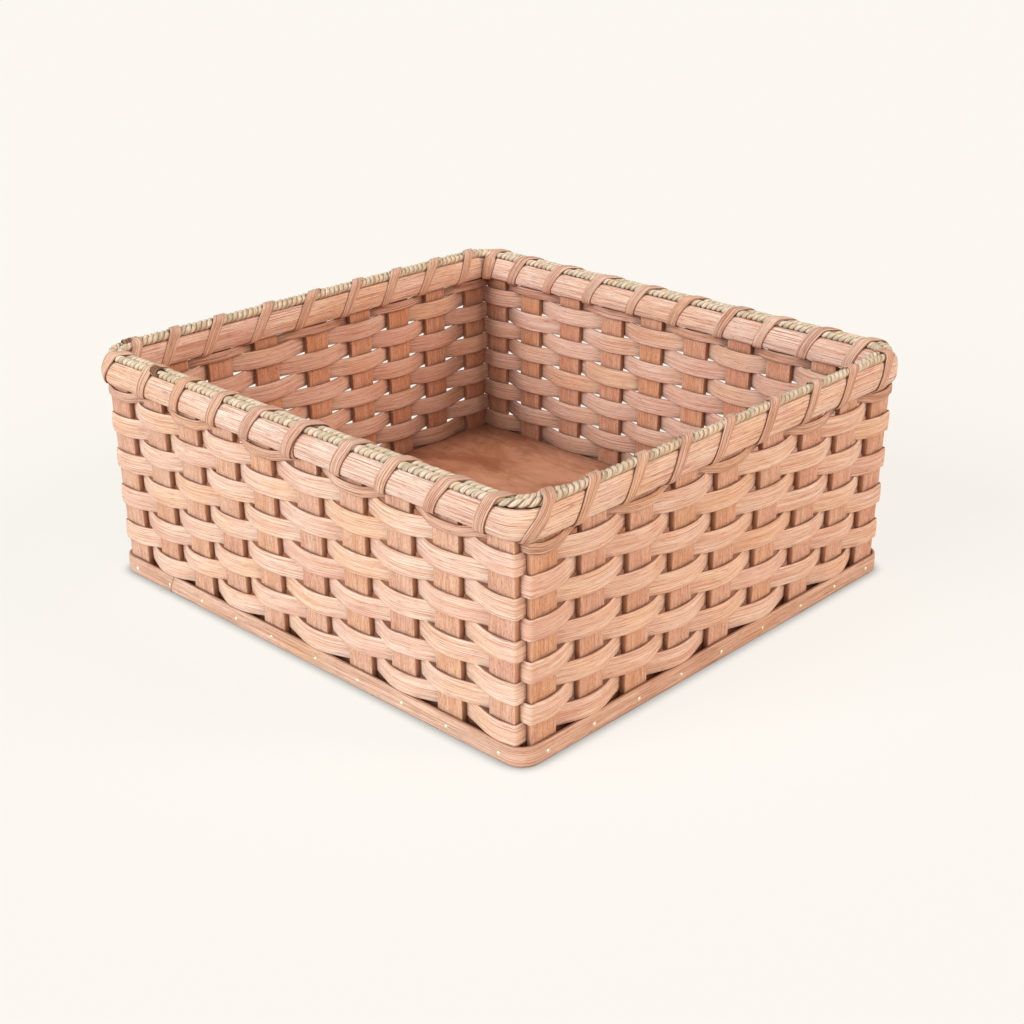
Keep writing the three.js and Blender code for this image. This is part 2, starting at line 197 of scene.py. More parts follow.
# a reed is a grid laid along its stops; each stop is (point, outward, across) with optional scale and slant
def sweptReed(name, stops, profile, closed=False, material=None, lay=layStraight, shadedGrooves=False):
    count, around = len(stops), len(profile)
    spans = count if closed else count - 1
    lengths, edge = grainLengths(stops, profile, closed)
    bm = bmesh.new()
    bmesh.ops.create_grid(bm, x_segments=spans, y_segments=around, size=1)
    uv = bm.loops.layers.uv.new("grain")
    inner = bm.verts.layers.float.new("inner")
    edgeTone = bm.verts.layers.float.new("edge")
    halfWidth = max(abs(a) for a, o in profile)
    deep = max(abs(o) for a, o in profile)
    begin = random.Random(name).uniform(0, 30)
    place = {}
    for vert in bm.verts:
        i = round((vert.co.x + 1) / 2 * spans)
        j = round((vert.co.y + 1) / 2 * around)
        stop = stops[i % count]
        a, o = profile[j % around]
        place[vert] = (lengths[i] * mm + begin, edge[j] * mm)
        vert[inner] = innerTone(o, deep, shadedGrooves)
        vert[edgeTone] = 1.0 if abs(a) > halfWidth - 0.02 else 0.0
        vert.co = lay(stop, a, o) * mm
    for face in bm.faces:
        face.smooth = True
        for corner in face.loops:
            corner[uv].uv = place[corner.vert]
    bmesh.ops.remove_doubles(bm, verts=bm.verts, dist=2e-6)
    if not closed:
        bmesh.ops.holes_fill(bm, edges=[e for e in bm.edges if e.is_boundary], sides=0)
    bmesh.ops.recalc_face_normals(bm, faces=bm.faces)
    return finishPiece(name, bm, material)


def intoScene(name, data):
    made = bpy.data.objects.new(name, data)
    bpy.context.scene.collection.objects.link(made)
    return made


def makeObject(name, bm, material):
    mesh = bpy.data.meshes.new(name)
    bm.to_mesh(mesh)
    bm.free()
    mesh.materials.append(material)
    return intoScene(name, mesh)


def finishPiece(name, bm, material):
    piece = makeObject(name, bm, material)
    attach(piece, "root")
    return piece


# the value at x on a straight way from a at start to c at end
def between(a, c, start, end, x):
    return a * ((end - x) / (end - start)) + c * ((x - start) / (end - start))


# smooth line through control points, centripetal so it doesn't overshoot the short corner steps
def smoothLine(points, step):
    count = len(points)
    out = []
    for i in range(count):
        p = [points[(i + k) % count] for k in (-1, 0, 1, 2)]
        t = [0.0]
        for k in range(3):
            t.append(t[-1] + max((p[k + 1] - p[k]).length, 1e-4) ** 0.5)
        cuts = max(3, round((p[2] - p[1]).length / step))
        for c in range(cuts):
            x = t[1] + (t[2] - t[1]) * c / cuts
            a = [between(p[k], p[k + 1], t[k], t[k + 1], x) for k in range(3)]
            d = [between(a[k], a[k + 1], t[k], t[k + 2], x) for k in range(2)]
            out.append(between(d[0], d[1], t[1], t[2], x))
    return out


# node helpers: a value is a number, a hex colour or a socket
def hexColour(code):
    def linear(c):
        return c / 12.92 if c <= 0.04045 else ((c + 0.055) / 1.055) ** 2.4
    return tuple(linear(int(code[i:i + 2], 16) / 255) for i in (0, 2, 4))


def give(tree, socket, value):
    if isinstance(value, str):
        socket.default_value = (*hexColour(value), 1)
    elif isinstance(value, (int, float)):
        socket.default_value = value
    else:
        tree.links.new(value, socket)


def giveAll(tree, sockets, values):
    for label, value in values.items():
        give(tree, sockets[label], value)


def newNode(tree, kind, **values):
    node = tree.nodes.new("ShaderNode" + kind)
    giveAll(tree, node.inputs, values)
    return node


def mathNode(tree, kind, a, c, clamp=False):
    node = newNode(tree, "Math")
    node.operation = kind
    node.use_clamp = clamp
    giveAll(tree, node.inputs, {0: a, 1: c})
    return node.outputs[0]


def times(tree, a, c):
    return mathNode(tree, "MULTIPLY", a, c)


# a value times a factor, plus a base
def scaled(tree, value, factor, base):
    return mathNode(tree, "ADD", times(tree, value, factor), base)


def mixColour(tree, factor, a, c, kind="MIX"):
    node = newNode(tree, "Mix")
    node.data_type = "RGBA"
    node.blend_type = kind
    giveAll(tree, node.inputs, {0: factor, 6: a, 7: c})
    return node.outputs[2]


# a colour seen through a glaze of another
def tint(tree, factor, colour, glaze):
    return mixColour(tree, factor, colour, glaze, "MULTIPLY")


def ramp(tree, value, low, high):
    node = newNode(tree, "MapRange", **{"Value": value, "From Min": low, "From Max": high})
    node.interpolation_type = "SMOOTHSTEP"
    return node.outputs["Result"]


# where a tone lies: a ramp on a noise, made fainter by its depth
def share(tree, value, low, high, depth):
    return times(tree, ramp(tree, value, low, high), depth)


# lays tones of a look over a colour, each where its noise goes from low to high
def layTones(tree, colour, look, tones):
    for pattern, low, high, depth, tone in tones:
        colour = mixColour(tree, share(tree, pattern, low, high, depth), colour, look[tone])
    return colour


def newGroup(name, inputs, outputs):
    group = bpy.data.node_groups.new(name, "ShaderNodeTree")
    for label, value in inputs.items():
        isColour = isinstance(value, str)
        kind = "NodeSocketColor" if isColour else "NodeSocketFloat"
        socket = group.interface.new_socket(label, in_out="INPUT", socket_type=kind)
        socket.default_value = (*hexColour(value), 1) if isColour else value
    for label, kind in outputs.items():
        group.interface.new_socket(label, in_out="OUTPUT", socket_type=kind)
    return group, group.nodes.new("NodeGroupInput").outputs, group.nodes.new("NodeGroupOutput").inputs


def placeGroup(tree, group, values):
    node = newNode(tree, "Group")
    node.node_tree = group
    giveAll(tree, node.inputs, values)
    return node.outputs


# noise drawn out along the grain; along and across are how many changes to the metre
def makeGrainNoise():
    inputs = dict(u=0.0, v=0.0, along=10.0, across=500.0, detail=3.0, twist=0.0)
    group, given, result = newGroup("grainNoise", inputs, dict(noise="NodeSocketFloat"))
    x, y = times(group, given["u"], given["along"]), times(group, given["v"], given["across"])
    z = times(group, given["across"], 0.37)  # each fineness of grain has its own pattern
    vector = newNode(group, "CombineXYZ", X=x, Y=y, Z=z)
    texture = newNode(group, "TexNoise", Vector=vector.outputs[0], Scale=1.0, Roughness=0.66,
                      Detail=given["detail"], Distortion=given["twist"])
    give(group, result["noise"], texture.outputs["Fac"])
    return group


grainNoise = makeGrainNoise()


def noiseAlong(tree, u, v, along, across, detail=3.0, twist=0.0):
    values = dict(u=u, v=v, along=along, across=across, detail=detail, twist=twist)
    return placeGroup(tree, grainNoise, values)[0]


# painted shade mask from occlusion: 0 in the open, 1 deep between the reeds, where shade falls
def makeShadeMask():
    inputs = dict(reach=0.006, closed=0.1, open=0.75)
    group, given, result = newGroup("shadeMask", inputs, dict(shadeAmount="NodeSocketFloat"))
    near = newNode(group, "AmbientOcclusion", Distance=given["reach"])
    near.samples = 6
    seen = ramp(group, near.outputs["AO"], given["closed"], given["open"])
    give(group, result["shadeAmount"], mathNode(group, "SUBTRACT", 1.0, seen))
    return group


shadeMask = makeShadeMask()


def grainCoords(tree):
    coord = newNode(tree, "UVMap")
    coord.uv_map = "grain"
    split = newNode(tree, "SeparateXYZ", Vector=coord.outputs["UV"])
    return split.outputs[0], split.outputs[1]


def attribute(tree, name):
    node = newNode(tree, "Attribute")
    node.attribute_name = name
    return node.outputs["Fac"]


def newMaterial(name):
    mat = bpy.data.materials.new(name)
    mat.use_nodes = True
    return mat, mat.node_tree, mat.node_tree.nodes["Principled BSDF"]


def paint(tree, shader, colour, roughness, plain, value):
    giveAll(tree, shader.inputs, {"Base Color": colour, "Roughness": roughness, plain: value})


def addBump(tree, shader, height, strength, distance):
    bump = newNode(tree, "Bump", Strength=strength, Distance=distance, Height=height)
    give(tree, shader.inputs["Normal"], bump.outputs["Normal"])


# reed: long grain lines along the strip, pale streaks, pores, slow tone changes, darker edges (stain on cut
# edges, partly painted shade), a darker inside face (own tone, partly painted shade), and painted shade
# between the reeds
weaverLook = dict(
    light="FCE8D8", warm="F5D6BC", line="D0907A", deep="A05A46", cloud="E8BEA6", pale="FFF8EE", edge="B47A5E",
    inside="F2EAE9", lineLength=15.0, lineDensity=2300.0, lineDepth=0.75, fineLength=50.0, fineDensity=3200.0,
    fineDepth=0.45, poreLength=110.0, poreDensity=1500.0, poreDepth=0.35, streakLength=7.0,
    streakDensity=330.0, cloudDepth=0.5, edgeStainAndShadeDepth=0.5, paleDepth=0.7, dull=0.5, paintedShade="4A2A1E",
    paintedShadeDepth=0.62, outsideShadeReach=0.0032, insideShadeReach=0.07, honey="FFF2D8", rose="F4E0DC", driftDepth=0.6,
)


def makeReedGrain():
    group, given, result = newGroup("reedGrain", weaverLook, dict(
        colour="NodeSocketColor", roughness="NodeSocketFloat", height="NodeSocketFloat"))
    u, v = grainCoords(group)
    lines = noiseAlong(group, u, v, given["lineLength"], given["lineDensity"], 4.0, 0.25)
    fine = noiseAlong(group, u, v, given["fineLength"], given["fineDensity"], 2.0)
    streak = noiseAlong(group, u, v, given["streakLength"], given["streakDensity"], 2.0)
    cloud = noiseAlong(group, u, v, 14.0, 40.0)
    paleAlong = times(group, given["lineLength"], 1.4)
    paleAcross = times(group, given["lineDensity"], 1.1)
    pale = noiseAlong(group, u, v, paleAlong, paleAcross, 2.0)
    pores = noiseAlong(group, u, v, given["poreLength"], given["poreDensity"], 1.0)
    colour = mixColour(group, ramp(group, streak, 0.35, 0.68), given["light"], given["warm"])
    colour = layTones(group, colour, given, [(cloud, 0.42, 0.8, given["cloudDepth"], "cloud")])
    drift = noiseAlong(group, u, v, 9.0, 12.0, 2.0)
    colour = tint(group, share(group, drift, 0.5, 0.64, given["driftDepth"]), colour, given["honey"])
    colour = tint(group, share(group, drift, 0.48, 0.36, given["driftDepth"]), colour, given["rose"])
    colour = layTones(group, colour, given, [
        (lines, 0.48, 0.58, given["lineDepth"], "line"), (fine, 0.53, 0.68, given["fineDepth"], "deep"),
        (pale, 0.54, 0.66, given["paleDepth"], "pale"), (pores, 0.58, 0.68, given["poreDepth"], "deep"),
    ])
    # darker edges: partly the stain soaked into cut edges, partly painted shade along the reed's edges
    edge = times(group, attribute(group, "edge"), given["edgeStainAndShadeDepth"])
    colour = mixColour(group, edge, colour, given["edge"])
    # darker inside faces: partly the reed's own colour, partly painted shade
    inner = attribute(group, "inner")
    colour = tint(group, inner, colour, given["inside"])
    # painted shade: the reed darkens to deep brown in the crevices between reeds, and far across inside faces
    # so the inside darkens towards its corners
    reach = scaled(group, inner, given["insideShadeReach"], given["outsideShadeReach"])
    shadeAmount = placeGroup(group, shadeMask, dict(reach=reach, open=scaled(group, inner, 0.12, 0.75)))[0]
    shadeAmount = times(group, shadeAmount, given["paintedShadeDepth"])
    give(group, result["colour"], tint(group, shadeAmount, colour, given["paintedShade"]))
    give(group, result["roughness"], scaled(group, lines, 0.25, given["dull"]))
    coarse = times(group, lines, 0.7)
    give(group, result["height"], mathNode(group, "ADD", coarse, times(group, fine, 0.5)))
    return group


reedGrain = makeReedGrain()


def reedMaterial(name, look, bump=0.8):
    mat, tree, shader = newMaterial(name)
    made = placeGroup(tree, reedGrain, look)
    paint(tree, shader, made["colour"], made["roughness"], "Specular IOR Level", 0.3)
    addBump(tree, shader, made["height"], bump, 0.0008)
    return mat


stakeLook = dict(
    weaverLook, light="EDCAB4", warm="E1B298", line="B27860", deep="8E5A46", cloud="CE9A7C", edge="D2A488",
    pale="F2D6C2", inside="F2E2D8", lineLength=70.0, lineDensity=1300.0, lineDepth=0.45, fineLength=300.0,
    fineDepth=0.5, poreLength=380.0, poreDensity=2300.0, poreDepth=0.55, streakLength=26.0,
    streakDensity=300.0, edgeStainAndShadeDepth=0.95, paleDepth=0.3,
)
bindingLook = dict(
    weaverLook, light="F0D0BA", warm="E2B89E", line="A06C56", deep="8A5240", cloud="CE9C82", edge="945E4A",
    pale="F8E6DA", lineDepth=0.9, paintedShadeDepth=0.55,
)
rimLook = dict(
    weaverLook, light="FDECE0", warm="F8DAC6", line="C88870", deep="A05C48", cloud="E8BCA2", inside="FFFDFA",
    lineDepth=0.9, poreDepth=0.45, paintedShadeDepth=0.6, insideShadeReach=0.0,
)
bandLook = dict(
    weaverLook, light="F0D2BE", warm="E2BCA2", line="AC7A64", deep="8A5644", cloud="CEA088", pale="F8E2D0",
)
spliceLook = dict(
    weaverLook, light="EAC8AA", warm="DFB594", line="C4947A", pale="F2DCC8", inside="FFFFFF", lineDepth=0.5,
)
weaverReed = reedMaterial("weaverReed", weaverLook)
stakeReed = reedMaterial("stakeReed", stakeLook)
bindingReed = reedMaterial("bindingReed", bindingLook)
rimReed = reedMaterial("rimReed", rimLook)
bandReed = reedMaterial("bandReed", bandLook)
spliceReed = reedMaterial("spliceReed", spliceLook)


def seagrassMaterial(name, look):
    mat, tree, shader = newMaterial(name)
    u, v = grainCoords(tree)
    fibre = noiseAlong(tree, u, v, 160.0, 1500.0)
    tone = noiseAlong(tree, u, v, 100.0, 60.0, 2.0)
    other = noiseAlong(tree, u, v, 140.0, 90.0, 2.0)
    colour = mixColour(tree, ramp(tree, tone, 0.40, 0.62), look["light"], look["green"])
    colour = layTones(tree, colour, look, [
        (other, 0.5, 0.68, 0.7, "straw"), (fibre, 0.52, 0.66, 0.7, "dark"), (fibre, 0.46, 0.34, 0.7, "fibre"),
    ])
    # painted shade in the grooves between the plies
    colour = mixColour(tree, attribute(tree, "inner"), colour, look["grooveShade"])
    paint(tree, shader, colour, scaled(tree, fibre, 0.3, 0.62), "Specular IOR Level", 0.3)
    addBump(tree, shader, fibre, 0.7, 0.0005)
    return mat


# noise on the piece's own X and Y, for what has no grain map
def objectNoise(tree, along, across, detail=3.0, twist=0.0):
    coord = newNode(tree, "TexCoord")
    split = newNode(tree, "SeparateXYZ", Vector=coord.outputs["Object"])
    return noiseAlong(tree, split.outputs[0], split.outputs[1], along, across, detail, twist)


def boardMaterial():
    look = dict(light="E4AC8C", dark="C48464", stain="A86A50", grain="985C44", pale="F0C0A0", corner="50281A")
    mat, tree, shader = newMaterial("boardWood")
    grain = objectNoise(tree, 9.0, 240.0, 4.0, 0.3)
    cloud = objectNoise(tree, 13.0, 21.0, 4.0, 0.6)
    blotch = objectNoise(tree, 22.0, 34.0, 3.0, 1.2)
    colour = mixColour(tree, ramp(tree, cloud, 0.36, 0.66), look["light"], look["dark"])
    colour = layTones(tree, colour, look, [
        (blotch, 0.5, 0.66, 0.45, "stain"), (blotch, 0.46, 0.34, 0.5, "pale"),
        (grain, 0.5, 0.75, 0.4, "grain"),
    ])
    # painted shade: the board darkens to deep brown near the walls and in the corners, where shade falls
    shadeAmount = placeGroup(tree, shadeMask, dict(reach=0.05, closed=0.25, open=0.9))[0]
    colour = mixColour(tree, times(tree, shadeAmount, 0.85), colour, look["corner"])
    paint(tree, shader, colour, scaled(tree, grain, 0.3, 0.36), "Specular IOR Level", 0.4)
    addBump(tree, shader, grain, 0.25, 0.0004)
    return mat


def brassMaterial():
    look = dict(bright="F4F0D6", dull="B8A67A")
    mat, tree, shader = newMaterial("brass")
    tarnish = objectNoise(tree, 900.0, 900.0)
    colour = mixColour(tree, ramp(tree, tarnish, 0.45, 0.75), look["bright"], look["dull"])
    paint(tree, shader, colour, scaled(tree, tarnish, 0.3, 0.2), "Metallic", 0.7)
    addBump(tree, shader, tarnish, 0.15, 0.0002)
    return mat


strandLook = dict(
    light="E8DAC6", green="CABFA4", straw="E8C89E", dark="94785C", fibre="FAF4E8", grooveShade="6A523C",
)
knotLook = dict(
    light="8A6650", green="644838", straw="76543F", dark="3E2A20", fibre="C0A088", grooveShade="2E1E16",
)
seagrassGreen = seagrassMaterial("seagrass", strandLook)
knotBark = seagrassMaterial("knotBark", knotLook)
boardWood = boardMaterial()
brass = brassMaterial()
print("materials made")


# camera at the photograph's angle
def makeCamera():
    view = dict(lens=57.458, place=(0.68109, -0.698088, 0.465608), tilt=66.4058, roll=0.2642, turn=43.7458)
    camera = intoScene("camera", bpy.data.cameras.new("camera"))
    camera.data.lens = view["lens"]
    camera.data.sensor_width = 36
    camera.data.clip_end = 100
    angles = Euler([math.radians(view[name]) for name in ("tilt", "roll", "turn")])
    camera.matrix_world = Matrix.LocRotScale(Vector(view["place"]), angles, None)
    bpy.context.scene.camera = camera


# 1 for what the camera, a mirror or a glass sees, 0 for light on its way round the room
def seenDirectly(tree):
    rays = newNode(tree, "LightPath")
    seen = mathNode(tree, "ADD", rays.outputs["Is Camera Ray"], rays.outputs["Is Glossy Ray"])
    return mathNode(tree, "ADD", seen, rays.outputs["Is Transmission Ray"], True)


def blendShaders(tree, factor, first, second, output):
    blend = newNode(tree, "MixShader")
    giveAll(tree, blend.inputs, {0: factor, 1: first, 2: second})
    give(tree, tree.nodes[output].inputs["Surface"], blend.outputs[0])


# pale floor: it takes light and shadow, and the camera and mirrors see mostly its plain paper tone, darkened
# near the basket's foot by a painted contact shadow
def makeFloor():
    look = dict(
        paper="FBF9F3", bounce="DCCDBF", seen="FBF9F4", paintedContactShadow="A4A8A8", reach=0.008, closed=0.45, open=0.95,
        shadowShare=0.18, halfSide=12,
    )
    mat, tree, shader = newMaterial("floorPaint")
    shader.inputs["Roughness"].default_value = 0.9
    shader.inputs["Specular IOR Level"].default_value = 0.0
    # painted contact shadow: the paper tone turns grey close to where the basket stands
    paintedContactShadow = placeGroup(tree, shadeMask, {name: look[name] for name in ("reach", "closed", "open")})[0]
    paper = newNode(tree, "Emission", Color=mixColour(tree, paintedContactShadow, look["paper"], look["paintedContactShadow"]))
    seen = seenDirectly(tree)
    give(tree, shader.inputs["Base Color"], mixColour(tree, seen, look["bounce"], look["seen"]))
    plain = times(tree, seen, 1 - look["shadowShare"])
    blendShaders(tree, plain, shader.outputs[0], paper.outputs[0], "Material Output")
    bm = bmesh.new()
    bmesh.ops.create_grid(bm, x_segments=4, y_segments=4, size=look["halfSide"])
    floor = makeObject("floor", bm, mat)


def makeLights():
    look = dict(skyColour=(1, 0.95, 0.9), sky=0.3, backdrop="FBF9F3", lamps=(
        dict(name="keyLight", strength=2.5, colour=(0.98, 1, 1), spread=35, tilt=62, turn=-14),
        dict(name="fillLight", strength=1.5, colour=(1, 0.77, 0.62), spread=26, tilt=59, turn=122),
        dict(name="sideLight", strength=0.9, colour=(1, 0.78, 0.64), spread=45, tilt=60, turn=62),
    ))
    for lampLook in look["lamps"]:
        lamp = intoScene(lampLook["name"], bpy.data.lights.new(lampLook["name"], "SUN"))
        lamp.data.energy = lampLook["strength"]
        lamp.data.color = lampLook["colour"]
        lamp.data.angle = math.radians(lampLook["spread"])
        lamp.rotation_euler = (math.radians(lampLook["tilt"]), 0, math.radians(lampLook["turn"]))
    world = bpy.data.worlds.new("studio")
    bpy.context.scene.world = world
    world.use_nodes = True
    tree = world.node_tree
    sky = tree.nodes["Background"]
    sky.inputs["Color"].default_value = (*look["skyColour"], 1)
    sky.inputs["Strength"].default_value = look["sky"]
    backdrop = newNode(tree, "Background", Color=look["backdrop"])
    blendShaders(tree, seenDirectly(tree), sky.outputs[0], backdrop.outputs[0], "World Output")


makeCamera()
makeFloor()
makeLights()
bpy.context.scene.view_settings.view_transform = "Standard"
print("stage made")


def makeStakes():
    look = dict(warp=0.35, widthSpread=0.03, steps=24, topInset=1.4)
    profile = reedProfile(size.stakeWidth, size.stakeThickness, 0.0, 0.25, 6)
    low, high = size.restGap, rimTop - look["topInset"]
    for wall in walls:
        outward, across = turned(0, 1, wall["turn"]), turned(1, 0, wall["turn"])
        for i in range(wall["count"]):
            seed = wall["turn"] * 20 + i
            stops = []
            for k in range(look["steps"] + 1):
                z = low + (high - low) * k / look["steps"]
                warp = look["warp"] * wave(z / 40, 0, seed)
                point = turned(stakeOffset(wall, i, z) + warp, wall["reach"] + flareAt(z), wall["turn"])
                point.z = z
                wide = 0.99 + look["widthSpread"] * wave(z / 60, 5, seed)
                stops.append(dict(point=point, outward=outward, across=across, scale=(wide, 1)))
            name = "stake%s%02d" % (wall["name"], i + 1)
            piece = sweptReed(name, stops, profile, False, stakeReed)
            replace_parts(piece, "stake_%s_%02d" % (wall["name"].lower(), i + 1))


makeStakes()
print("stakes made")

weaver = dict(
    width=12.5, thickness=1.9, bulge=1.1, dome=0.3, close=0.12, pastEdge=0.1, step=2.0, tilt=0.03,
    wander=0.25, widthSpread=0.03, sink=0.0, lift=0.0,
    cornerEase=2.2, cornerRadius=1.7, cornerThin=0.22, thinFrom=9, thinOver=5,
)
narrowWeaver = dict(weaver, width=6.3, thickness=1.5, sink=1.6, lift=0.5)
# a slack place in a row: on which row and wall, beside which stake, how far along, how deep and how long
slackPlaces = [dict(row=3, turn=0, stake=7, along=-9, deep=1.9, reach=13)]


# closed line of a row: outside one stake and inside the next, slipping between the two stakes of a corner
def weaverLine(z, look, outside):
    points = []
    clear = halfStake + look["close"] + look["thickness"] / 2
    flare = flareAt(z)
    for wall in walls:
        reach = wall["reach"] + flare
        for i in range(wall["count"]):
            side = 1 if outside else -1
            middle = stakeOffset(wall, i, z)
            edge = size.stakeWidth / 2 + look["pastEdge"]
            start = edge - (look["cornerEase"] if i == 0 else 0)
            end = edge - (look["cornerEase"] if i == wall["count"] - 1 else 0)
            points.append(turned(middle - start, reach + side * clear, wall["turn"]))
            points.append(turned(middle, reach + side * (clear + look["bulge"]), wall["turn"]))
            points.append(turned(middle + end, reach + side * clear, wall["turn"]))
            outside = not outside
        points += cornerTurn(wall, reach, flare, clear, look["cornerRadius"], not outside)
    return smoothLine(points, look["step"])


# the bend between the two stakes of a corner: round the edge of one stake and in behind the other
def cornerTurn(wall, reach, flare, clear, radius, wasOutside):
    run = wall["halfRun"] + flare
    rounded = walls[wall["turn"] if wasOutside else (wall["turn"] + 1) % 4]
    stakeEdge = halfStake - size.cornerInset + endNudge[rounded["name"]]
    slot = (stakeEdge - halfStake) / 2
    cut = radius * (1 - math.sqrt(0.5))
    bends = [(slot - radius, clear), (slot - cut, clear - cut), (slot, clear - radius), (slot, 0)]
    if wasOutside:
        return [turned(run + p, reach + q, wall["turn"]) for p, q in bends]
    return [turned(run + q, reach + p, wall["turn"]) for p, q in reversed(bends)]


def fromCorner(point, z):
    return max(abs(abs(point.x) - halfX - flareAt(z)), abs(abs(point.y) - halfY - flareAt(z)))


# 1 where a weaver lies outside a stake, -1 where it lies inside one, 0 where it passes through or turns
def besideStake(point, z, through=2.5, cornerEnd=3, cornerFade=8):
    offX, offY = abs(point.x) - halfX - flareAt(z), abs(point.y) - halfY - flareAt(z)
    off = offX if abs(offX) < abs(offY) else offY
    return max(-1.0, min(1.0, off / through)) * eased((fromCorner(point, z) - cornerEnd) / cornerFade)


def slackAt(row, point, z):
    sag = 0.0
    for slack in slackPlaces:
        if slack["row"] != row:
            continue
        wall = walls[slack["turn"]]
        middle = turned(stakeOffset(wall, slack["stake"], z) + slack["along"], wall["reach"], slack["turn"])
        sag += slack["deep"] * eased(1 - (point - middle).length / slack["reach"])
    return sag


def weaverStops(line, look, middle, row, seed, closed=True):
    stops = []
    count = len(line)
    for i, point in enumerate(line):
        after = line[(i + 1) % count] if closed else line[min(i + 1, count - 1)]
        before = line[i - 1] if closed else line[max(i - 1, 0)]
        travel = (after - before).normalized()
        outward = Vector((travel.y, -travel.x, 0))
        beside = besideStake(point, middle)
        lean = look["tilt"] * wave(point.x / 50, point.y / 50, seed)
        rise = look["wander"] * wave(point.x / 35, point.y / 35, seed + 3) - slackAt(row, point, middle)
        rise -= look["sink"] * max(0, beside) - look["lift"] * max(0, -beside)
        squeezed = eased((look["thinFrom"] - fromCorner(point, middle)) / look["thinOver"])
        thick = 1 - look["cornerThin"] * squeezed
        wide = 1 + look["widthSpread"] * wave(point.x / 60, point.y / 60, seed + 9)
        stops.append(dict(
            point=point + upward * (middle + rise), outward=(outward - upward * lean).normalized(),
            across=(upward + outward * lean).normalized(), scale=(wide, thick),
        ))
    return stops


def makeWeaver(name, node, row, bottom, pitch, look, material, seed):
    middle = bottom + pitch / 2
    line = weaverLine(middle, look, row % 2 == 0)
    profile = reedProfile(look["width"], look["thickness"], look["dome"])
    piece = sweptReed(name, weaverStops(line, look, middle, row, seed), profile, True, material)
    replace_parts(piece, node)


def makeRows():
    for row in range(1, size.rows + 1):
        bottom = firstRow + (row - 1) * rowPitch
        makeWeaver("weaver%d" % row, "weaver_row_%d" % row, row, bottom, size.weaverWidth, weaver,
                   weaverReed, row * 3.7)
    makeWeaver("narrowWeaver", "narrow_weaver_row", size.rows + 1, narrowRow, size.narrowWidth, narrowWeaver,
               bindingReed, 41.3)


# a short new length laid in over one stake where a weaver ran out, its ends tucked behind the neighbours
def makeSplice():
    look = dict(weaver, row=6, turn=2, stake=6, reach=27.5, inward=1.5, thickness=1.1, width=12.3)
    middle = firstRow + (look["row"] - 0.5) * rowPitch - size.rowGap / 2 - 0.5
    wall = walls[look["turn"]]
    centre = turned(stakeOffset(wall, look["stake"], middle), wall["reach"], look["turn"])
    inward = turned(0, -1, look["turn"])
    line = [point for point in weaverLine(middle, weaver, look["row"] % 2 == 0)
            if (point - centre).length < look["reach"]]
    shifted = []
    for point in line:
        away = (point - centre).length / look["reach"]
        shifted.append(point + inward * look["inward"] * eased(6 - 6 * away))
    stops = weaverStops(shifted, look, middle, 0, 5.1, False)
    profile = reedProfile(look["width"], look["thickness"], 0.3, 0.25)
    sweptReed("spliceLength", stops, profile, False, spliceReed)


makeRows()
makeSplice()
print("wall woven")


# stops of a band round the stakes, from a distance along the loop; over is how far its end laps its start
def bandStops(z, radius, depth, look, seed, start=0.0, over=None):
    loop = wallLoop(z, radius)
    length = loop["total"] + (over or 0)
    count = round(length / look["step"])
    stops = []
    for k in range(count + (over is not None)):
        d = length * k / count
        point, outward, travel = placeOn(loop, start + d)
        lap, thick, slant = 0.0, 1.0, Vector()
        if over:
            first, last = eased(1 - d / over), eased(1 - (length - d) / over)
            thick = 1 - look["lapThin"] * max(first, last)
            lap = (last - first) * size.bandThickness * look["lapShift"]
            slant = travel * look["lapSlant"] * last
        point = point + outward * (depth + look["sway"] * wave(d / 45, 0, seed) + lap)
        point.z = z + look["rise"] * wave(d / 60, 4, seed)
        stops.append(dict(point=point, outward=outward, across=upward, scale=(1, thick), slant=slant))
    return stops


def facing(profile, side):
    return [(a, side * o) for a, o in profile][::side]


def makeBands():
    look = dict(
        step=2.4, sway=0.12, rise=0.2,  # its spacing, and how far it strays outward and upward
        lapAt=-141, lap=15, lapThin=0.45, lapShift=0.3, lapSlant=0.45,
    )
    middle = (rimBottom + rimTop) / 2
    profile = halfOvalProfile(size.rimHeight, size.rimThickness)
    for name, node, side, radius, seed in (
        ("rimOuter", "rim_band_outer", 1, rimRound, 1.1),
        ("rimInner", "rim_band_inner", -1, size.innerCorner, 2.2),
    ):
        stops = bandStops(middle, radius, side * bandNear, look, seed)
        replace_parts(sweptReed(name, stops, facing(profile, side), True, rimReed), node)
    depth = bandNear + size.bandThickness / 2
    stops = bandStops(size.bandHeight / 2, outerRound, depth, look, 3.3, look["lapAt"], look["lap"])
    profile = reedProfile(size.bandHeight - 2 * look["rise"], size.bandThickness, 0.25, 0.4, 8)
    band = sweptReed("baseBand", stops, profile, False, bandReed)
    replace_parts(band, "base_band")


makeBands()
print("bands made")

strand = dict(
    radius=2.35, apart=2.75, corner=18, lay=8.4, plies=2, perTurn=14, plySize=0.66, spread=0.43,
    lift=2.1, swell=0.14, rise=0.15, dip=2.1, dipEnd=18, dipFade=25, dipShift=0.4,
)
strandZ = rimTop + strand["lift"]


# how far the inner strand has sunk between the bands, on the right wall only
def sunkAt(point, loop):
    if point.x < loop["hx"] - 3:
        return 0.0
    return strand["dip"] * eased((loop["hy"] - strand["dipEnd"] - abs(point.y)) / strand["dipFade"])


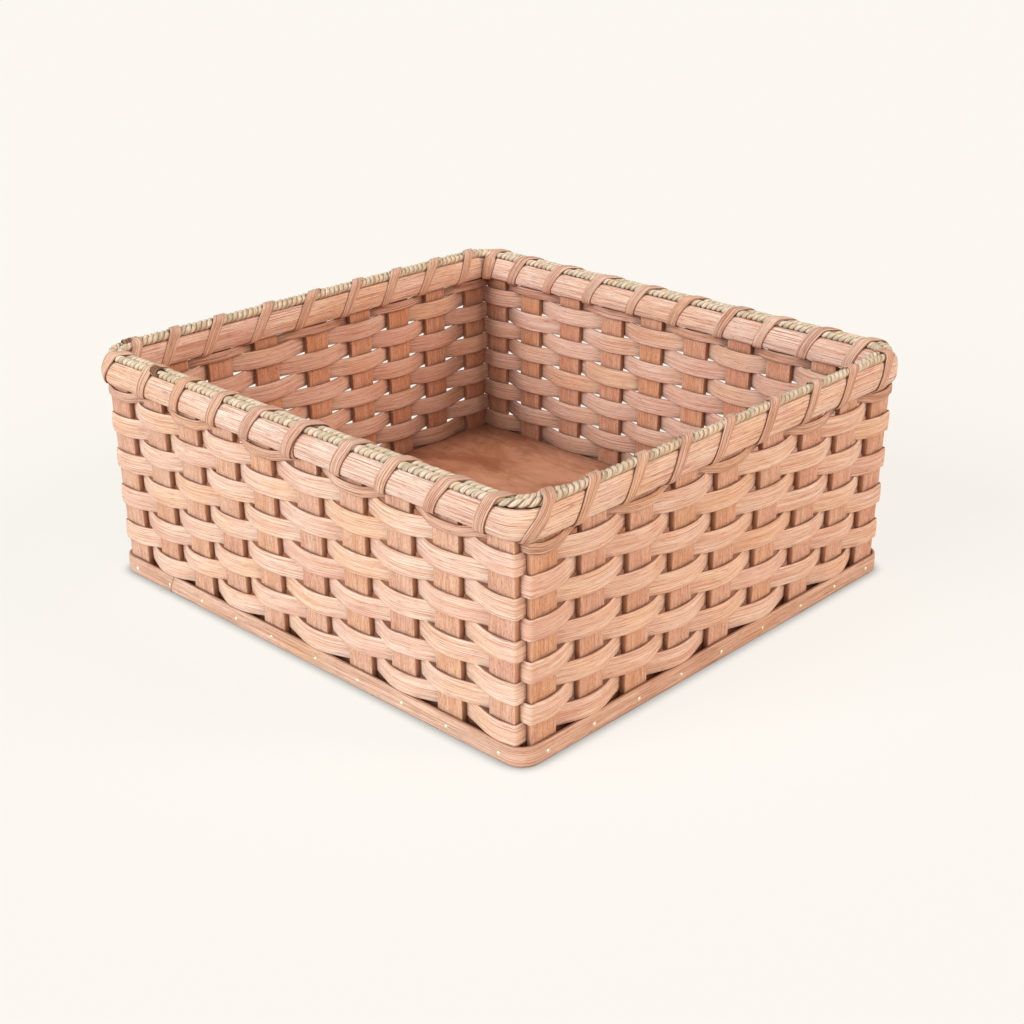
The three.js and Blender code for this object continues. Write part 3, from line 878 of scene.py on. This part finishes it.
# middle line of one ply as it winds round its strand
def plyCentres(side, ply, seed, loop):
    radius = strand["radius"]
    turns = round(loop["total"] / strand["lay"])
    steps = turns * strand["perTurn"]
    centres = []
    for k in range(steps):
        d = loop["total"] * k / steps
        point, outward, _ = placeOn(loop, d)
        swell = 1 + strand["swell"] * wave(d / 9, ply, seed)
        settle = sunkAt(point, loop) if side < 0 else 0.0
        angle = 2 * math.pi * (turns * k / steps + ply / strand["plies"])
        radial = outward * math.cos(angle) + upward * math.sin(angle)
        centre = point + outward * (side * strand["apart"] + settle * strand["dipShift"])
        centre += radial * radius * strand["spread"] * swell
        centre.z += strandZ + strand["rise"] * wave(d / 30, 8, seed) - settle
        centres.append((centre, radial, swell))
    return centres


def makeSeagrass(name, node, side, seed):
    loop = wallLoop(seagrassZ, strand["corner"])
    radius = strand["radius"] * strand["plySize"]
    ring = roundProfile(radius * 1.06, radius * 0.96, 10)
    plies = []
    for ply in range(strand["plies"]):
        centres = plyCentres(side, ply, seed, loop)
        stops = []
        for k, (centre, radial, swell) in enumerate(centres):
            along = (centres[(k + 1) % len(centres)][0] - centres[k - 1][0]).normalized()
            out = (radial - along * radial.dot(along)).normalized()
            stops.append(dict(point=centre, outward=out, across=along.cross(out), scale=(swell, swell)))
        plyName = "%sPly%d" % (name, ply + 1)
        plies.append(sweptReed(plyName, stops, ring, True, seagrassGreen, shadedGrooves=True))
    bm = bmesh.new()
    for ply in plies:
        bm.from_mesh(ply.data)
        bpy.data.objects.remove(ply)
    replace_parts(finishPiece(name, bm, seagrassGreen), node)


# a thin end wound round the strands where a length was tied in
def makeKnots():
    look = dict(
        radius=2.5, rise=0.9, thick=1.3, flat=0.8, turns=3, pitch=2.1, perTurn=16, swing=0.12, stray=0.5,
        places=[(-119.5, 0, 2.6), (153.5, 3, -0.5)],  # how far along which wall, and out from its middle
    )
    loop = wallLoop(seagrassZ, strand["corner"])
    for number, (along, turn, out) in enumerate(look["places"]):
        reach = (loop["hy"] if turn % 2 == 0 else loop["hx"]) + out
        stops = []
        for k in range(look["turns"] * look["perTurn"] + 1):
            turns = k / look["perTurn"]
            angle = 2 * math.pi * turns
            swing = look["radius"] * (1 + look["swing"] * wave(turns * 3, number, 2.6))
            radial = turned(0, math.cos(angle), turn) + upward * math.sin(angle)
            shift = look["pitch"] * (turns - look["turns"] / 2) + look["stray"] * wave(turns * 2, number, 8.8)
            centre = turned(along + shift, reach, turn) + upward * (strandZ + look["rise"]) + radial * swing
            stops.append(dict(point=centre, outward=radial, across=turned(1, 0, turn)))
        ring = roundProfile(look["thick"], look["thick"] * look["flat"])
        sweptReed("strandKnot%d" % (number + 1), stops, ring, False, knotBark, shadedGrooves=True)


makeSeagrass("seagrassOuter", "seagrass_outer", 1, 5.5)
makeSeagrass("seagrassInner", "seagrass_inner", -1, 7.7)
makeKnots()
print("seagrass laid")

lash = dict(
    off=0.06, width=7.3, dome=0.15, perTurn=46, lean=0.45, folded=0.8, unfolded=0.16,
    insideCorner=13, cornerBlend=8, dipBlend=5, dipHeight=3,
    place=dict(Front=1, Right=0, Back=0.3, Left=-0.3),  # 0 midway between two stakes, 1 at the further one
    # how far past its place each strip leaves the outer band, and reaches the inner one
    outer=dict(
        Front=[5.2, 5.2, 6.2, 1.8, 1.8, 3.4, 2.2, 3.4, 0.6],
        Right=[0.2, 0.2, -1.2, -1.8, 0.2, 2.2, 1.2, 7],
    ),
    inner=dict(
        Back=[-0.8, -0.8, 0.3, -2, -0.8, -0.4, 1.5, 0.3, -0.8],
        Left=[1.1, 2.2, 1.5, 1.1, 1.8, -2.7, -1.1, -3.7],
    ),
    cornerInner=dict(Left=-8),
    # as shares of the way round: where it bends under, where it crosses the top, and how gently
    bend=0.06, top=0.35, fade=0.3, liftStart=0.08, liftEnd=0.1,
    joinNudge=-1.6, joinLift=0.75, wobble=0.5,
    tailStart=3.6, tailEnd=0.6, tailReach=0.36, tailWidth=0.42, tailThin=0.5, tailSink=0.2, tailStops=8,
)


# closed line that a taut reed takes round bands and strands, as evenly spaced points with outward sides
def rimSection(samples=240, steps=90, smoothing=4):
    off = size.lashThickness / 2 + lash["off"]
    middle, half = (rimBottom + rimTop) / 2, size.rimHeight / 2 + off
    radius = strand["radius"] + off
    cloud = []
    for k in range(steps + 1):
        angle = math.pi * k / steps
        cloud.append((bandNear + ovalDepth(angle, size.rimThickness) + off, middle - half * math.cos(angle)))
        cloud.append((strand["apart"] + radius * math.cos(angle), strandZ + radius * math.sin(angle)))
    cloud += [(-out, z) for out, z in cloud]
    hull = [Vector(cloud[i]) for i in geometry.convex_hull_2d(cloud)]
    if sum(p.cross(q) for p, q in zip(hull, hull[1:] + hull[:1])) < 0:
        hull.reverse()
    foot = min((i for i in range(len(hull)) if hull[i].x > 0), key=lambda i: hull[i].y - 0.001 * hull[i].x)
    hull = [Vector((0, middle - half))] + hull[foot:] + hull[:foot]
    lengths = [0.0]
    for p, q in zip(hull, hull[1:] + hull[:1]):
        lengths.append(lengths[-1] + (q - p).length)
    points, i = [], 0
    for k in range(samples):
        at = lengths[-1] * k / samples
        while lengths[i + 1] < at:
            i += 1
        part = (at - lengths[i]) / max(lengths[i + 1] - lengths[i], 1e-9)
        points.append(hull[i].lerp(hull[(i + 1) % len(hull)], part))
    for _ in range(smoothing):
        points = [(points[k - 1] + points[k] + points[(k + 1) % samples]) / 3 for k in range(samples)]
    section = []
    for k, point in enumerate(points):
        along = (points[(k + 1) % samples] - points[k - 1]).normalized()
        section.append((point, Vector((along.y, -along.x))))
    return section, lengths[-1]


section, sectionLength = rimSection()
rimLoop = wallLoop(rimTop, rimRound)


# where a distance along the rim lies on another loop with rounder corners
def onRounderLoop(other, distance):
    middle = otherMiddle = 0.0
    distance %= rimLoop["total"]
    for side in range(5):
        corner = (rimLoop["straights"][side % 4] + rimLoop["arc"]) / 2
        otherHalf = other["straights"][side % 4] / 2
        if distance <= middle + corner or side == 4:
            along = distance - middle
            if abs(along) > otherHalf:
                squeeze = other["arc"] / 2 / (corner - otherHalf)
                along = math.copysign(otherHalf + (abs(along) - otherHalf) * squeeze, along)
            return otherMiddle + along
        middle += corner + (rimLoop["arc"] + rimLoop["straights"][(side + 1) % 4]) / 2
        otherMiddle += otherHalf + other["arc"] + other["straights"][(side + 1) % 4] / 2


# a point of the rim's surface: share of the way round its section, and distance along the rim
def rimPoint(around, distance, lift=0.0):
    index = around % 1 * len(section)
    low, part = int(index) % len(section), index % 1
    after = section[(low + 1) % len(section)]
    point, normal = section[low][0].lerp(after[0], part), section[low][1].lerp(after[1], part).normalized()
    rounder = eased(0.5 - point.x / lash["cornerBlend"])
    loop = rimLoop
    if rounder > 0:
        loop = wallLoop(rimTop, rimRound + (lash["insideCorner"] - rimRound) * rounder)
        distance = onRounderLoop(loop, distance)
    place, outward, _ = placeOn(loop, distance)
    out, z = point + normal * lift
    inside, above = eased(0.5 - out / lash["dipBlend"]), eased((z - rimTop + 1) / lash["dipHeight"])
    z -= sunkAt(place, loop) * inside * above
    return place + outward * out + upward * z


# where the lashing comes through: one place in each gap between stakes and one at each corner
def lashPlaces():
    places, middle = [], 0.0
    for side, wall in enumerate(walls):
        offsets = [stakeOffset(wall, i, rimBottom) for i in range(wall["count"])]
        outer = lash["outer"].get(wall["name"], [0.0] * wall["count"])
        inner = lash["inner"].get(wall["name"], [0.0] * wall["count"])
        for p, q, past, before in zip(offsets, offsets[1:], outer, inner):
            room = max(0, q - p - size.stakeWidth - lash["width"])
            at = middle + (p + q) / 2 + lash["place"][wall["name"]] * room / 2
            places.append(dict(at=at, corner=False, outer=past, inner=before))
        corner = middle + (rimLoop["straights"][side] + rimLoop["arc"]) / 2
        before = lash["cornerInner"].get(wall["name"], 0.0)
        places.append(dict(at=corner, corner=True, outer=0.0, inner=before))
        middle = corner + (rimLoop["arc"] + rimLoop["straights"][(side + 1) % 4]) / 2
    return places


# how far along the rim the reed has moved on, at a share of the way round the section
def movedOn(around):
    return around - lash["lean"] * math.sin(2 * math.pi * around) / (2 * math.pi)


# stops of one turn between two places; nudges shift its two ends along the rim
def lashTurn(fromPlace, toPlace, seed, nudges=(0.0, 0.0), reach=1.0, width=1.0, lift=0.0):
    step = (toPlace["at"] - fromPlace["at"]) % rimLoop["total"]
    stops = []
    count = round(lash["perTurn"] * reach)
    for k in range(count):
        around = reach * k / count
        distance = fromPlace["at"] + step * movedOn(around)
        distance += nudges[0] + (nudges[1] - nudges[0]) * eased(around / reach)
        left = 1 - around
        early, late = (left - lash["top"]) / lash["fade"], (around - lash["top"]) / lash["fade"]
        distance += fromPlace["outer"] * eased(around / lash["bend"]) * eased(early)
        distance += toPlace["inner"] * eased(late) * eased(left / lash["bend"])
        distance += lash["wobble"] * wave(seed * 1.7, around * 2.5, 3.1) * math.sin(math.pi * around) ** 2
        fold = 1.0
        for place, away in ((fromPlace, around), (toPlace, left)):
            if place["corner"]:
                fold = min(fold, lash["folded"] + (1 - lash["folded"]) * eased(away / lash["unfolded"]))
        raised = lift * eased(around / lash["liftStart"]) * eased((reach - around) / lash["liftEnd"])
        stops.append(dict(around=around, distance=distance, wide=width * fold, raised=raised))
    return stops


# the frame of each stop on the rim's surface, so that the whole width of the reed hugs it
def settleLashing(stops):
    for i, stop in enumerate(stops):
        before, after = stops[max(i - 1, 0)], stops[min(i + 1, len(stops) - 1)]
        here, d = stop["around"], stop["distance"]
        stretch = (rimPoint(here, d + 2.5) - rimPoint(here, d - 2.5)).length / 5
        turnOn = (after["around"] - before["around"]) % 1 * sectionLength
        moved = Vector((turnOn, (after["distance"] - before["distance"]) * stretch))
        moved.normalize()
        stop.update(moved=moved, stretch=max(stretch, 0.3), point=rimPoint(here, d))
    return stops


def layOnRim(stop, a, o):
    wide = a * stop["wide"]
    around = stop["around"] - wide * stop["moved"].y / sectionLength
    distance = stop["distance"] + wide * stop["moved"].x / stop["stretch"]
    return rimPoint(around, distance, o * stop.get("thin", 1) + stop["raised"])


def makeLashing():
    places = lashPlaces()
    count = len(places)
    join = walls[0]["count"] // 2 - 1
    stops = []
    for k in range(count):
        nudges = (lash["joinNudge"] if k == 0 else 0, lash["tailStart"] if k == count - 1 else 0)
        lift = lash["joinLift"] if k == 0 else 0.0
        stops += lashTurn(places[(join + k) % count], places[(join + k + 1) % count], k, nudges, lift=lift)
    nudges = (lash["tailStart"], lash["tailEnd"])
    tail = lashTurn(places[join], places[join + 1], 99, nudges, lash["tailReach"])
    for k, stop in enumerate(tail):
        part = eased(k / lash["tailStops"])
        stop["wide"] = 1 + (lash["tailWidth"] - 1) * part
        stop.update(thin=1 - lash["tailThin"] * part, raised=-lash["tailSink"] * part)
    profile = reedProfile(lash["width"], size.lashThickness, lash["dome"], 0.25, 6)
    stops = settleLashing(stops + tail)
    piece = sweptReed("rimLashing", stops, profile, False, bindingReed, layOnRim)
    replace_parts(piece, "rim_lashing")


makeLashing()
print("rim lashed")


# loose fibres that stand off the reed: where they start, which way they go, and how far
def makeFibres():
    look = dict(radius=0.13, steps=7, curl=0.35, taper=0.7)
    fibres = [
        dict(along=-130.3, turn=0, z=3.8, out=4.9, way=(0.15, 0.95, 0.05), length=6.5),
        dict(along=-121.9, turn=0, z=4.0, out=4.9, way=(0.95, 0.1, 0.0), length=9),
        dict(along=-127, turn=0, z=10.6, out=4.9, way=(-0.9, 0.25, 0.6), length=6),
        dict(along=-163, turn=1, z=151.2, out=0.6, way=(0.15, 0.35, 0.95), length=5),
        dict(along=168, turn=0, z=151.2, out=0.6, way=(0.3, 0.3, 0.9), length=5),
    ]
    for number, fibre in enumerate(fibres):
        wall = walls[fibre["turn"]]
        start = turned(fibre["along"], wall["reach"] + flareAt(fibre["z"]) + fibre["out"], fibre["turn"])
        start.z = fibre["z"]
        along, outward, rise = fibre["way"]
        way = (turned(along, outward, fibre["turn"]) + upward * rise).normalized()
        bend = way.cross(upward).normalized()
        stops = []
        for k in range(look["steps"] + 1):
            part = k / look["steps"]
            point = start + way * fibre["length"] * part
            point += (bend - upward) * look["curl"] * fibre["length"] * part ** 2
            thin = 1 - look["taper"] * part
            stops.append(dict(point=point, outward=bend, across=way.cross(bend), scale=(thin, thin)))
        sweptReed("fibre%d" % (number + 1), stops, roundProfile(look["radius"], look["radius"], 5), False,
                  bindingReed)


# nail heads through the base band, one to each stake
def makeBrads():
    look = dict(height=5.2, radius=1.25, flat=0.5, sunk=0.1, wander=0.5)
    bm = bmesh.new()
    z = look["height"]
    for wall in walls:
        aim = turned(0, 1, wall["turn"]).to_track_quat("Z", "Y").to_matrix().to_4x4()
        for i in range(wall["count"]):
            made = bmesh.ops.create_uvsphere(bm, u_segments=10, v_segments=6, radius=look["radius"] * mm)
            out = wall["reach"] + flareAt(z) + bandNear + size.bandThickness - look["sunk"]
            point = turned(stakeOffset(wall, i, z), out, wall["turn"])
            point.z = z + look["wander"] * wave(i * 2.3, wall["turn"])
            shape = Matrix.Translation(point * mm) @ aim @ Matrix.Diagonal((1, 1, look["flat"], 1))
            bmesh.ops.transform(bm, matrix=shape, verts=made["verts"])
    for face in bm.faces:
        face.smooth = True
    finishPiece("brads", bm, brass)


makeFibres()
makeBrads()
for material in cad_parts["base_board"].material_slots:
    material.material = boardWood
print("brads, fibres and board done")
